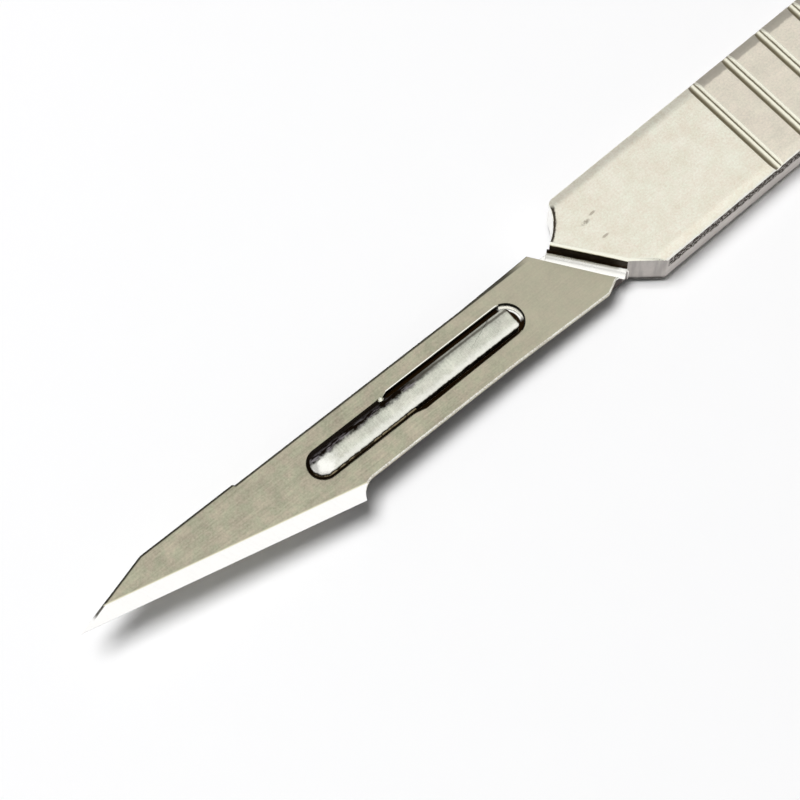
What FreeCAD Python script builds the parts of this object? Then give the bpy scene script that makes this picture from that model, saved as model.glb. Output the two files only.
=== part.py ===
import FreeCAD, Part
import math
import os

# Disposable scalpel: a flat grooved handle with a thin pointed blade seated on its stud.
# Millimetres, +Z up. +X runs to the blade's tip, +Y to the side of its cutting edge.
# Lengths along the handle are counted from the seat, the point where the middle of the
# blade's heel lies. The finished pieces are moved so the origin is under their middle.

# Handle: overall sizes
handle_length = 125.0
handle_width = 8.0
handle_thickness = 2.7
edge_round_width = 0.8
edge_round_drop = 0.25
under_edge_break = 0.12
tail_corner_radius = 3.0

# Handle: slanted step and shoulders at the front
heel_slant = 35.0
step_gap = 0.7
step_edge_break = 0.16
shoulder_angle = 40.5
step_foot_radius = 0.6
hollow_shoulder_inset = 0.12
hollow_shoulder_angle = 47.9
hollow_shoulder_sag = 0.25
hollow_corner_radius = 0.7

# Handle: cross grooves
groove_first = 13.5
groove_pitch = 2.96
groove_count = 10
groove_top_width = 0.85
groove_floor_width = 0.35
groove_depth = 0.28

# Tang: the thin tongue under the blade, turned a little to the back of the blade
fitting_turn = 1.6
fitting_side_offset = 0.29
tang_thickness = 1.2
tang_width = 4.2
tang_reach = 22.3
tang_root_depth = 4.0

# Stud: the long key that stands on the tang
stud_start = 5.25
stud_end = 21.5
stud_width = 1.56
stud_rise = 0.52
stud_dome_radius = 1.6
stud_flange_start = 13.8
stud_flange_width = 2.14
stud_flange_shift = 0.09
fitting_step_slant = 1.2
stud_corner_radius = 0.4
stud_ramp_start = 9.4
stud_ramp_drop = 0.22

# Blade: outline
blade_length = 40.0
blade_thickness = 0.4
shank_width = 4.96
heel_flare = 0.16
heel_flare_length = 7.5
heel_cut_along = 1.45
heel_cut_across = 0.54
edge_corner_along = 19.92
edge_corner_out = 3.4
edge_corner_run = 1.35
tip_offset = 1.03
clip_start = 32.6
back_step_along = 25.4
back_step = 0.13

# Blade: ground edge and slot
bevel_width = 0.94
edge_land = 0.02
slot_side_shift = 0.06
slot_rear_closing = 0.12
slot_start = 4.63
slot_narrow_start = 14.4
slot_narrowing_length = 1.1
slot_end_clearance = 0.1
slot_side_clearance = 0.12
slot_neck_clearance = 0.05
flange_clearance = 0.04

# Sizes that follow
half_width = handle_width / 2
half_tang = tang_width / 2
half_shank = shank_width / 2
half_stud = stud_width / 2
half_flange = stud_flange_width / 2
slant_run = math.tan(math.radians(heel_slant))
blade_top = tang_thickness + blade_thickness
stud_top = blade_top + stud_rise
blade_tip_along = blade_length - half_shank * slant_run
turn = math.radians(fitting_turn)
tip_x = blade_tip_along * math.cos(turn) - tip_offset * math.sin(turn)
tail_x = tang_reach - handle_length
middle_x = (tip_x + tail_x) / 2


def point(x, y, z=0.0):
    return FreeCAD.Vector(x, y, z)


def line(a, b):
    return Part.makeLine(a, b)


def arc(a, through, b):
    return Part.Arc(a, through, b).toShape()


def slab(edges, bottom, height):
    face = Part.Face(Part.Wire(edges))
    face.translate(point(0, 0, bottom))
    return face.extrude(point(0, 0, height))


def closed_lines(points):
    ends = points[1:] + points[:1]
    return [line(a, b) for a, b in zip(points, ends)]


def turned(shape):
    # From the straight lie of the fitting to its slightly turned place on the handle.
    shape.rotate(point(0, 0), point(0, 0, 1), -fitting_turn)
    shape.translate(point(0, fitting_side_offset))
    return shape


def corner_arc(before, corner, after, radius):
    # Edge points of a rounded corner: start, middle and end of the tangent arc.
    to_before = (before - corner).normalize()
    to_after = (after - corner).normalize()
    half_angle = to_before.getAngle(to_after) / 2
    reach = radius / math.tan(half_angle)
    start = corner + to_before * reach
    end = corner + to_after * reach
    inward = (to_before + to_after).normalize()
    middle = corner + inward * (radius / math.sin(half_angle) - radius)
    return start, middle, end


# Handle

def step_x(y):
    # The foot of the slanted step at one place across the handle.
    gap_along = step_gap / math.cos(math.radians(heel_slant))
    return fitting_side_offset * slant_run - gap_along - slant_run * y


def grip_outline():
    near_tang = fitting_side_offset + half_tang
    far_end = fitting_side_offset - half_tang + hollow_shoulder_inset
    near_front = point(step_x(near_tang), near_tang)
    far_front = point(step_x(far_end), far_end)
    shoulder_run = (half_width - near_tang) / math.tan(math.radians(shoulder_angle))
    near_side = point(near_front.x - shoulder_run, half_width)
    setback = (half_width + far_end) / math.tan(math.radians(hollow_shoulder_angle))
    far_side = point(far_front.x - setback, -half_width)
    chord = far_side - far_front
    bow = point(-chord.y, chord.x).normalize() * -hollow_shoulder_sag
    tail_near = point(tail_x, half_width)
    tail_far = point(tail_x, -half_width)
    near_start, near_middle, near_end = corner_arc(near_side, tail_near, tail_far, tail_corner_radius)
    far_start, far_middle, far_stop = corner_arc(tail_near, tail_far, far_side, tail_corner_radius)
    round_start, round_middle, round_end = corner_arc(tail_far, far_side, far_front, hollow_corner_radius)
    hollow_middle = (round_end + far_front) * 0.5 + bow
    return [
        line(far_front, near_front),
        line(near_front, near_side),
        line(near_side, near_start),
        arc(near_start, near_middle, near_end),
        line(near_end, far_start),
        arc(far_start, far_middle, far_stop),
        line(far_stop, round_start),
        arc(round_start, round_middle, round_end),
        arc(round_end, hollow_middle, far_front),
    ]


def edge_round():
    # The radius of the shallow edge round, tangent to the flat face, and its middle point
    # as distances in from the side and down from the top.
    radius = (edge_round_width ** 2 + edge_round_drop ** 2) / (2 * edge_round_drop)
    angle = math.asin(edge_round_width / radius) / 2
    bend_along = edge_round_width - radius * math.sin(angle)
    bend_drop = radius * (1 - math.cos(angle))
    return radius, bend_along, bend_drop


def grip_section():
    # Flat faces, shallow rounds along the upper edges and small breaks along the lower ones.
    flat = half_width - edge_round_width
    foot = half_width - under_edge_break
    low = under_edge_break
    top = handle_thickness
    high = top - edge_round_drop
    radius, bend_along, bend_drop = edge_round()
    bend_y = half_width - bend_along
    bend_z = top - bend_drop
    return [
        line(point(0, -foot, 0), point(0, foot, 0)),
        line(point(0, foot, 0), point(0, half_width, low)),
        line(point(0, half_width, low), point(0, half_width, high)),
        arc(point(0, half_width, high), point(0, bend_y, bend_z), point(0, flat, top)),
        line(point(0, flat, top), point(0, -flat, top)),
        arc(point(0, -flat, top), point(0, -bend_y, bend_z), point(0, -half_width, high)),
        line(point(0, -half_width, high), point(0, -half_width, low)),
        line(point(0, -half_width, low), point(0, -foot, 0)),
    ]


def tail_profile():
    # The side view: the upper edge of the tail has the same shallow round as the long edges.
    front = tail_x + handle_length + handle_width
    top = handle_thickness
    high = top - edge_round_drop
    low = under_edge_break
    radius, bend_along, bend_drop = edge_round()
    return [
        line(point(front, 0, 0), point(front, 0, top)),
        line(point(front, 0, top), point(tail_x + edge_round_width, 0, top)),
        arc(point(tail_x + edge_round_width, 0, top), point(tail_x + bend_along, 0, top - bend_drop),
            point(tail_x, 0, high)),
        line(point(tail_x, 0, high), point(tail_x, 0, low)),
        line(point(tail_x, 0, low), point(tail_x + low, 0, 0)),
        line(point(tail_x + low, 0, 0), point(front, 0, 0)),
    ]


def grip_body():
    outline = slab(grip_outline(), 0, handle_thickness)
    section = Part.Face(Part.Wire(grip_section()))
    section.translate(point(tail_x - half_width, 0))
    bar = section.extrude(point(handle_length + handle_width, 0))
    profile = Part.Face(Part.Wire(tail_profile()))
    profile.translate(point(0, -handle_width))
    side = profile.extrude(point(0, 2 * handle_width))
    return outline.common(bar).common(side)


def edge_wedge(a, b, width, drop, top):
    # What a break takes off the top edge from a to b, with the body on the edge's right hand.
    along = (b - a).normalize()
    outward = point(-along.y, along.x)
    up = point(0, 0, 1)
    start = a - along * handle_width + up * top
    corners = [
        start - outward * width,
        start + outward * width - up * (2 * drop),
        start + outward * width + up * drop,
        start - outward * width + up * drop,
    ]
    face = Part.Face(Part.Wire(closed_lines(corners)))
    return face.extrude(along * ((b - a).Length + 2 * handle_width))


def front_edge_breaks():
    # The crisp top edges of the step and of the slanting shoulder are broken a little.
    edges = grip_outline()
    far_front, near_front = [v.Point for v in edges[0].Vertexes]
    near_side = edges[1].Vertexes[1].Point
    size = step_edge_break
    step = edge_wedge(near_front, far_front, size, size, handle_thickness)
    shoulder = edge_wedge(near_side, near_front, size, size, handle_thickness)
    return [step, shoulder]


def step_foot_fill():
    # The small radius that fills the inner corner between the step and the tang.
    base = point(step_x(-half_width), -half_width, tang_thickness)
    along = (point(step_x(half_width), half_width, tang_thickness) - base).normalize()
    out = point(along.y, -along.x) * step_foot_radius
    up = point(0, 0, step_foot_radius)
    bend = base + (out + up) * (1 - math.sqrt(0.5))
    edges = [line(base, base + out), arc(base + out, bend, base + up), line(base + up, base)]
    strip = Part.Face(Part.Wire(edges)).extrude(along * (2 * handle_width))
    keep = turned(slab(tang_outline(), tang_thickness, step_foot_radius))
    return strip.common(keep)


def groove(along, face_z, inward):
    # One cross groove with sloping walls and a flat floor, cut right across the handle.
    half_top = groove_top_width / 2
    half_floor = groove_floor_width / 2
    middle = -(groove_first + half_top + along)
    outside = half_top + half_top - half_floor
    corners = [
        point(middle - outside, -handle_width, face_z - inward * groove_depth),
        point(middle - half_floor, -handle_width, face_z + inward * groove_depth),
        point(middle + half_floor, -handle_width, face_z + inward * groove_depth),
        point(middle + outside, -handle_width, face_z - inward * groove_depth),
    ]
    face = Part.Face(Part.Wire(closed_lines(corners)))
    return face.extrude(point(0, 2 * handle_width))


def grooves():
    cutters = []
    for number in range(groove_count):
        along = number * groove_pitch
        cutters.append(groove(along, handle_thickness, -1))
        cutters.append(groove(along, 0, 1))
    return cutters


def tang_outline():
    straight_end = tang_reach - half_tang
    return [
        line(point(-tang_root_depth, half_tang), point(-tang_root_depth, -half_tang)),
        line(point(-tang_root_depth, -half_tang), point(straight_end, -half_tang)),
        arc(point(straight_end, -half_tang), point(tang_reach, 0), point(straight_end, half_tang)),
        line(point(straight_end, half_tang), point(-tang_root_depth, half_tang)),
    ]


def stud_core():
    # The narrow full-length key: its rear corners are rounded and its front end is round.
    rear_near = point(stud_start, half_stud)
    rear_far = point(stud_start, -half_stud)
    nose = stud_end - half_flange + half_stud
    front = nose - half_stud
    near = corner_arc(point(front, half_stud), rear_near, rear_far, stud_corner_radius)
    far = corner_arc(rear_near, rear_far, point(front, -half_stud), stud_corner_radius)
    edges = [
        arc(near[0], near[1], near[2]),
        line(near[2], far[0]),
        arc(far[0], far[1], far[2]),
        line(far[2], point(front, -half_stud)),
        arc(point(front, -half_stud), point(nose, 0), point(front, half_stud)),
        line(point(front, half_stud), near[0]),
    ]
    return slab(edges, tang_thickness, blade_thickness + stud_rise)


def stud_flange():
    # The wider front half of the key, which overhangs the edges of the blade's slot.
    front = stud_end - half_flange
    near = half_flange - stud_flange_shift
    far = -half_flange - stud_flange_shift
    near_rear = point(stud_flange_start, near)
    far_rear = point(stud_flange_start + fitting_step_slant, far)
    edges = [
        line(near_rear, far_rear),
        line(far_rear, point(front, far)),
        arc(point(front, far), point(stud_end, -stud_flange_shift), point(front, near)),
        line(point(front, near), near_rear),
    ]
    bottom = blade_top + flange_clearance
    return slab(edges, bottom, stud_top - bottom)


def stud_dome():
    # The long rounded back of the key, closed by a part of a ball at its front end.
    rear = stud_start - stud_width
    front = stud_end - half_flange
    height = stud_top - stud_dome_radius
    start = point(rear, -stud_flange_shift, height)
    ball = point(front, -stud_flange_shift, height)
    along = point(1, 0, 0)
    bar = Part.makeCylinder(stud_dome_radius, front - rear, start, along)
    return bar.fuse(Part.makeSphere(stud_dome_radius, ball, along))


def stud_ramp():
    # Above the ramp that lowers the rear end of the key.
    corners = [
        point(stud_ramp_start, -tang_width, stud_top),
        point(stud_ramp_start, -tang_width, stud_top + stud_rise),
        point(stud_start - stud_width, -tang_width, stud_top + stud_rise),
        point(stud_start - stud_width, -tang_width, ramp_height(stud_start - stud_width)),
    ]
    face = Part.Face(Part.Wire(closed_lines(corners)))
    return face.extrude(point(0, 2 * tang_width))


def ramp_height(along):
    slope = stud_ramp_drop / (stud_ramp_start - stud_start)
    return stud_top - slope * (stud_ramp_start - along)


def build_handle():
    body = grip_body().cut(front_edge_breaks()).cut(grooves())
    stud = stud_core().fuse(stud_flange()).common(stud_dome()).cut(stud_ramp())
    tang = slab(tang_outline(), 0, tang_thickness)
    fitting = turned(tang.fuse(stud))
    return body.fuse([fitting, step_foot_fill()]).removeSplitter()


# Blade

def heel_x(y):
    return -slant_run * y


def blade_outline():
    half_heel = half_shank + heel_flare
    back_heel = point(heel_x(-half_heel), -half_heel)
    back_flare_end = point(heel_flare_length, -half_shank)
    back_step_low = point(back_step_along, -half_shank)
    back_step_high = point(back_step_along + back_step, -half_shank - back_step)
    clip = point(clip_start, -half_shank - back_step)
    tip = point(blade_tip_along, -tip_offset)
    edge_corner = point(edge_corner_along, edge_corner_out)
    run_start = point(edge_corner_along - edge_corner_run, half_shank)
    near_flare_end = point(heel_flare_length, half_shank)
    cut_y = half_heel - heel_cut_across
    near_heel = point(heel_x(cut_y), cut_y)
    near_cut = point(heel_x(half_heel) + heel_cut_along, half_heel)
    chord_along = edge_corner_run
    chord_out = edge_corner_out - half_shank
    half_turn = math.atan2(chord_out, chord_along)
    radius = math.hypot(chord_along, chord_out) / (2 * math.sin(half_turn))
    run_middle = point(run_start.x + radius * math.sin(half_turn), half_shank + radius * (1 - math.cos(half_turn)))
    return [
        line(back_heel, back_flare_end),
        line(back_flare_end, back_step_low),
        line(back_step_low, back_step_high),
        line(back_step_high, clip),
        line(clip, tip),
        line(tip, edge_corner),
        arc(edge_corner, run_middle, run_start),
        line(run_start, near_flare_end),
        line(near_flare_end, near_cut),
        line(near_cut, near_heel),
        line(near_heel, back_heel),
    ]


def slot():
    half_wide = half_flange + slot_side_clearance
    half_narrow = half_stud + slot_neck_clearance
    far = -half_wide - slot_side_shift
    near = half_wide - slot_side_shift
    near_rear = near - slot_rear_closing
    rear_radius = (near_rear - far) / 2
    wide_start = slot_start + rear_radius
    wide_end = slot_narrow_start - slot_narrowing_length
    far_wide_end = wide_end + fitting_step_slant
    far_narrow_start = slot_narrow_start + fitting_step_slant
    narrow_end = stud_end - half_flange
    nose = narrow_end + half_narrow + slot_end_clearance
    rear = point(slot_start, (near_rear + far) / 2)
    edges = [
        arc(point(wide_start, near_rear), rear, point(wide_start, far)),
        line(point(wide_start, far), point(far_wide_end, far)),
        line(point(far_wide_end, far), point(far_narrow_start, -half_narrow)),
        line(point(far_narrow_start, -half_narrow), point(narrow_end, -half_narrow)),
        arc(point(narrow_end, -half_narrow), point(nose, 0), point(narrow_end, half_narrow)),
        line(point(narrow_end, half_narrow), point(slot_narrow_start, half_narrow)),
        line(point(slot_narrow_start, half_narrow), point(wide_end, near)),
        line(point(wide_end, near), point(wide_start, near_rear)),
    ]
    return slab(edges, 0, blade_top + blade_thickness)


def bevel_cutter(side):
    # What the grinding takes off one face beside the cutting edge.
    tip = point(blade_tip_along, -tip_offset)
    corner = point(edge_corner_along, edge_corner_out)
    along = (tip - corner).normalize()
    outward = point(-along.y, along.x)
    if outward.y < 0:
        outward = outward * -1
    middle = tang_thickness + blade_thickness / 2
    rise = blade_thickness / 2 - edge_land / 2
    past = 2 * bevel_width
    slope = rise / bevel_width
    start = corner - along * (3 * bevel_width)
    length = (tip - corner).Length + 6 * bevel_width
    up = point(0, 0, side)
    level = point(0, 0, middle)
    inner = start - outward * bevel_width + level + up * (blade_thickness / 2)
    outer = start + outward * past + level + up * (edge_land / 2 - slope * past)
    corners = [inner, outer, outer + up * blade_thickness * past, inner + up * blade_thickness]
    face = Part.Face(Part.Wire(closed_lines(corners)))
    return face.extrude(along * length)


def build_blade():
    body = slab(blade_outline(), tang_thickness, blade_thickness)
    body = body.cut(slot())
    body = body.cut(bevel_cutter(1))
    body = body.cut(bevel_cutter(-1))
    return turned(body)


os.makedirs("parts", exist_ok=True)
for name, build in (("handle", build_handle), ("blade", build_blade)):
    piece = build()
    piece.translate(point(-middle_x, 0))
    if len(piece.Solids) == 1:
        piece = piece.Solids[0]
    piece.exportStep("parts/" + name + ".step")
    box = piece.BoundBox
    print(name, piece.isValid(), round(piece.Volume, 2), round(box.XMin, 2), round(box.XMax, 2))
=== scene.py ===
import math
from contextlib import contextmanager
from types import SimpleNamespace

import bmesh
import bpy
from mathutils import Matrix, Vector


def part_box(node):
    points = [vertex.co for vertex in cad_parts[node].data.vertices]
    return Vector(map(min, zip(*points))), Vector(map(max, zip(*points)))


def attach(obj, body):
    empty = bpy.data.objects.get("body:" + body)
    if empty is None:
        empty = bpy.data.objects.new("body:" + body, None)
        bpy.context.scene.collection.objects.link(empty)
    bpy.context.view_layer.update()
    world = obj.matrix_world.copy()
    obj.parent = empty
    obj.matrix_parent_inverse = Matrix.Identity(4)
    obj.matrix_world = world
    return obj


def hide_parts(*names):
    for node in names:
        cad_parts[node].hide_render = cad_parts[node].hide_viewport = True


bl_info = {
    "name": "Disposable Scalpel",
    "version": (1, 0, 0),
    "blender": (4, 5, 0),
    "location": "3D View > Sidebar > Scalpel",
    "description": "Builds a scalpel with a grooved flat handle and a pointed blade, and its studio",
    "category": "Add Mesh",
}

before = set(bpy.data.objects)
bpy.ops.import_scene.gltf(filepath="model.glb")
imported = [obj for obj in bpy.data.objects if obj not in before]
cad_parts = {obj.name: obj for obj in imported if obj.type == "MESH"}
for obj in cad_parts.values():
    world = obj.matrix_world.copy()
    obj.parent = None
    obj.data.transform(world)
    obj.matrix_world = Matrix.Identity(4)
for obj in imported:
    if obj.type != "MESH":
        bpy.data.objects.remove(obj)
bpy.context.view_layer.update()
HANDLE_LOW, HANDLE_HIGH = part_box("handle")
BLADE_LOW, BLADE_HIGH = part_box("blade")
ROOT_BODY = "root"
MM = 0.001
# Points closer than this, in millimetres, are one point.
EPS = 1e-5
# Metres: the depth of the finishes' relief, and how far the floor lies under the handle.
RELIEF = 0.00002
FLOOR_GAP = 0.00002
# Angles between faces: one face below FLAT, rounded above CRISP, shaded sharp above SHARP, a rim above FOLDED.
FLAT, CRISP, SHARP, FOLDED = (math.radians(angle) for angle in (0.2, 28, 32, 50))
# The numbers of the finishes on each piece.
SATIN, LANDS, STEP, STUD, SIDE, TANG, BREAKS, GROOVE, HOLLOW = range(9)
GROUND, EDGE, RIM, BACK, SLOT = range(5)


# Sizes and colours that a user would change

def length_property(name, description, default):
    """A distance in metres, shown in scene units."""
    return bpy.props.FloatProperty(
        name=name, description=description, default=default, min=0.0,
        precision=5, unit="LENGTH", subtype="DISTANCE",
    )


def angle_property(name, description, degrees):
    return bpy.props.FloatProperty(
        name=name, description=description, default=math.radians(degrees),
        unit="ROTATION", subtype="ANGLE",
    )


def colour_property(name, description, default):
    return bpy.props.FloatVectorProperty(
        name=name, description=description, default=default, size=3,
        min=0.0, max=1.0, subtype="COLOR",
    )


def factor_property(name, description, default):
    return bpy.props.FloatProperty(
        name=name, description=description, default=default,
        min=0.0, max=1.0, subtype="FACTOR",
    )


class ScalpelHandleSettings(bpy.types.PropertyGroup):
    """Sizes and finish of the handle, its tang and its stud."""

    length: length_property("Length", "Tail to the tang's nose", 0.125)
    width: length_property("Width", "Across the grip", HANDLE_HIGH[1] - HANDLE_LOW[1])
    thickness: length_property("Thickness", "Height of the grip", HANDLE_HIGH[2] - HANDLE_LOW[2])
    edge_round_width: length_property("Edge round width", "How far the long edges are rounded in", 0.0008)
    edge_round_drop: length_property("Edge round drop", "How far the round falls to the side", 0.00025)
    under_break: length_property("Under break", "Break on the lower edges", 0.00012)
    tail_radius: length_property("Tail radius", "Corner radius at the tail", 0.003)
    step_gap: length_property("Step gap", "Between the step and the blade's heel", 0.0007)
    step_break: length_property("Step break", "Break on the step's top edge", 0.00016)
    foot_radius: length_property("Step foot radius", "Fill between the step and the tang", 0.0006)
    shoulder_angle: angle_property("Shoulder angle", "Slanting shoulder to the long edge", 40.5)
    hollow_angle: angle_property("Hollow angle", "Hollow shoulder's chord to the long edge", 47.9)
    hollow_inset: length_property("Hollow inset", "Step's end in from the tang's side", 0.00012)
    hollow_sag: length_property("Hollow sag", "Depth of the hollow shoulder", 0.00025)
    hollow_radius: length_property("Hollow corner radius", "Corner where the hollow meets the side", 0.0007)
    groove_first: length_property("First groove", "From the seat to the first cross groove", 0.0135)
    groove_pitch: length_property("Groove pitch", "From one cross groove to the next", 0.00296)
    groove_count: bpy.props.IntProperty(
        name="Groove count", description="Grooves on each face", default=10, min=1,
    )
    groove_top: length_property("Groove width", "Width at the face", 0.00085)
    groove_floor: length_property("Groove floor", "Width at the bottom", 0.00035)
    groove_depth: length_property("Groove depth", "Below the face", 0.00028)
    tang_thickness: length_property("Tang thickness", "Height of the tang", 0.0012)
    tang_width: length_property("Tang width", "Across the tang", 0.0042)
    tang_reach: length_property("Tang reach", "Seat to the tang's nose", 0.0223)
    tang_root: length_property("Tang root", "How far the tang runs into the grip", 0.004)
    stud_start: length_property("Stud start", "Seat to the stud's rear end", 0.00525)
    stud_end: length_property("Stud end", "Seat to the stud's nose", 0.0215)
    stud_width: length_property("Stud width", "Across the narrow key", 0.00156)
    stud_rise: length_property("Stud rise", "Top of the stud above the blade", 0.00052)
    stud_dome: length_property("Stud dome radius", "Roundness of the stud's back", 0.0016)
    stud_corner: length_property("Stud corner radius", "Rear corners of the key", 0.0004)
    flange_start: length_property("Flange start", "Seat to the overhanging part", 0.0138)
    flange_width: length_property("Flange width", "Across the overhanging part", 0.00214)
    flange_shift: length_property("Flange shift", "Sideways, to the blade's back", 0.00009)
    flange_gap: length_property("Flange gap", "Between the flange and the blade", 0.00004)
    step_slant: length_property("Fitting slant", "Far side lags behind the near side", 0.0012)
    nib_radius: length_property("Burr radius", "Small burr at the flange's rear corner", 0.00016)
    ramp_start: length_property("Ramp start", "Where the stud's rear slope begins", 0.0094)
    ramp_drop: length_property("Ramp drop", "Fall of the rear slope", 0.00022)
    fine_edge: length_property("Fine edge", "Softness of every crisp edge", 0.00004)
    colour: colour_property("Colour", "Satin metal of the handle", (1.0, 0.905, 0.735))
    land_colour: colour_property("Grip colour", "Metal between the grooves", (0.815, 0.757, 0.645))
    # The dark colour also serves as painted shade in the slot and at the stud's rear end.
    dark_colour: colour_property("Dark metal", "Unground metal in the corners", (0.020, 0.010, 0.003))
    # The sides' colour is darker than the top's, in part as painted shade.
    side_colour: colour_property("Side colour", "Metal of the punched sides", (0.565, 0.526, 0.496))
    stud_colour: colour_property("Stud colour", "Rubbed metal on the stud", (0.605, 0.61, 0.53))
    groove_colour: colour_property("Groove colour", "Rubbed metal in the cross grooves", (1.0, 0.95, 0.78))
    # A paler copy of the satin metal: painted highlights on the breaks, the nib, the step's top and the grooves'
    # lips.
    break_highlight_colour: colour_property("Break colour", "Rubbed breaks at the step's top edge", (1.0, 0.98, 0.83))
    # The bright colour is the tang's own pale metal, and also painted highlights on the near edge, the stud's nose
    # and the fillet, and the hollow wall's painted reflection.
    bright_colour: colour_property("Bright colour", "Rubbed tang and broken edges", (0.99, 0.98, 0.93))
    roughness: factor_property("Roughness", "Satin finish of the handle", 0.42)


class ScalpelBladeSettings(bpy.types.PropertyGroup):
    """Sizes and finish of the blade, and how its fitting lies on the handle."""

    length: length_property("Length", "Heel corner to tip", 0.040)
    thickness: length_property("Thickness", "Stock thickness", BLADE_HIGH[2] - BLADE_LOW[2])
    shank_width: length_property("Shank width", "Across the slotted part", 0.00496)
    heel_slant: angle_property("Heel slant", "Slant of the heel and the step", 35.0)
    heel_flare: length_property("Heel flare", "Each side widens by this at the heel", 0.00016)
    heel_flare_length: length_property("Heel flare length", "Where the flare begins", 0.0075)
    heel_cut_along: length_property("Heel cut along", "Cut corner, along the blade", 0.00145)
    heel_cut_across: length_property("Heel cut across", "Cut corner, across the blade", 0.00054)
    edge_corner_along: length_property("Edge corner", "Seat to the cutting edge's rear end", 0.01992)
    edge_corner_out: length_property("Edge corner out", "Axis to the cutting edge's rear end", 0.0034)
    edge_corner_run: length_property("Edge corner run", "Length of the hollow run-out", 0.00135)
    tip_offset: length_property("Tip offset", "Tip to the blade's axis", 0.00103)
    clip_start: length_property("Clip start", "Where the back turns to the tip", 0.0326)
    back_step_along: length_property("Back step", "Where the grinding of the back begins", 0.0254)
    back_step: length_property("Back step height", "Rise of the back there", 0.00013)
    bevel_width: length_property("Bevel width", "Width of the ground edge", 0.00094)
    edge_land: length_property("Edge land", "Thickness left at the very edge", 0.00002)
    slot_start: length_property("Slot start", "Seat to the slot's rear end", 0.00463)
    slot_narrow_start: length_property("Slot narrow start", "Where the slot turns narrow", 0.0144)
    slot_narrowing: length_property("Slot narrowing", "Length of the slot's slanting step", 0.0011)
    slot_shift: length_property("Slot shift", "Sideways, to the blade's back", 0.00006)
    slot_rear_closing: length_property("Slot closing", "Near side closes in at the rear", 0.00012)
    slot_end_gap: length_property("Slot end gap", "In front of the stud's neck", 0.0001)
    slot_side_gap: length_property("Slot side gap", "Beside the stud's flange", 0.00012)
    slot_neck_gap: length_property("Slot neck gap", "Beside the stud's neck", 0.00005)
    turn: angle_property("Fitting turn", "The fitting turns to the blade's back", 1.6)
    side_offset: length_property("Fitting offset", "The fitting lies to the near side", 0.00029)
    rim_round: length_property("Rim round", "Rounding that the press leaves on the rims", 0.0001)
    colour: colour_property("Colour", "Ground metal of the blade", (0.462, 0.435, 0.333))
    edge_colour: colour_property("Edge colour", "Freshly ground edge", (0.95, 0.94, 0.92))
    # The slot's and the rims' colours are paler than the blade's faces: in part rubbed metal, in part painted
    # highlight.
    slot_colour: colour_property("Slot rim colour", "Rubbed rims of the slot", (1.0, 0.97, 0.88))
    rim_colour: colour_property("Rim colour", "Rubbed rims of the pressed blade", (0.88, 0.82, 0.69))
    roughness: factor_property("Roughness", "Finely ground faces", 0.38)


class ScalpelStudioSettings(bpy.types.PropertyGroup):
    """Floor, light and camera."""

    floor_size: length_property("Floor size", "Side of the square floor", 6.0)
    fall_start: length_property("Fall start", "Behind the seat, where the paper begins to fall away", 0.035)
    fall_run: length_property("Fall run", "Length over which the paper bends down", 0.049)
    fall_slope: angle_property("Fall slope", "Slope of the paper under the blade", 2.46)
    floor_colour: colour_property("Floor colour", "Pale paper", (0.97, 0.97, 0.975))
    box_glow: factor_property("Soft box", "Brightness of the soft box overhead", 0.52)
    front_glow: factor_property("Front box", "Brightness of the soft box beyond the blade's tip", 0.50)
    side_glow: factor_property("Side box", "Brightness of the low soft box on the near side", 0.42)
    room_glow: factor_property("Room", "How bright the room looks in the metal", 0.55)
    sky_glow: factor_property("Fill", "Plain light from all sides", 0.16)
    key_glow: bpy.props.FloatProperty(
        name="Key", description="Brightness of the lamp on the far side", default=15.3, min=0.0,
    )
    camera_distance: length_property("Camera distance", "Camera to its target", 0.17999)
    camera_azimuth: angle_property("Camera azimuth", "From the tip's direction, round to the near side", 48.008)
    camera_elevation: angle_property("Camera elevation", "Above the floor", 66.189)
    camera_lens: bpy.props.FloatProperty(
        name="Lens", description="Focal length on a 36 mm sensor", default=132.796, unit="CAMERA",
    )
    target_along: length_property("Target along", "Seat to the camera's target", 0.014186)
    target_across: bpy.props.FloatProperty(
        name="Target across", description="Axis to the camera's target", default=-0.000391,
        precision=6, unit="LENGTH", subtype="DISTANCE",
    )


def own_properties(group):
    return [key for key in group.bl_rna.properties.keys() if key not in ("rna_type", "name")]


def scaled(group):
    """The group's lengths in millimetres and its other values as they are."""
    values = SimpleNamespace()
    for key in own_properties(group):
        item, value = group.bl_rna.properties[key], getattr(group, key)
        if item.type == "FLOAT" and item.is_array:
            value = tuple(value)
        elif item.type == "FLOAT" and item.unit == "LENGTH":
            value = value / MM
        setattr(values, key, value)
    return values


def settings(context):
    scene = context.scene
    return scaled(scene.scalpel_handle), scaled(scene.scalpel_blade), scaled(scene.scalpel_studio)


def tail_along(handle):
    return handle.tang_reach - handle.length


def seat_along(handle):
    """Where the seat lies along the frame's X, in millimetres."""
    return HANDLE_LOW[0] / MM - tail_along(handle)


def tang_near(handle, blade):
    """The tang's near side, across the handle."""
    return blade.side_offset + handle.tang_width / 2


def flange_front(handle):
    """Where the round nose of the stud begins."""
    return handle.stud_end - handle.flange_width / 2


def step_out(blade):
    """The way the slanted step faces."""
    return Vector((math.cos(blade.heel_slant), math.sin(blade.heel_slant), 0))


# Plane geometry

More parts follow.
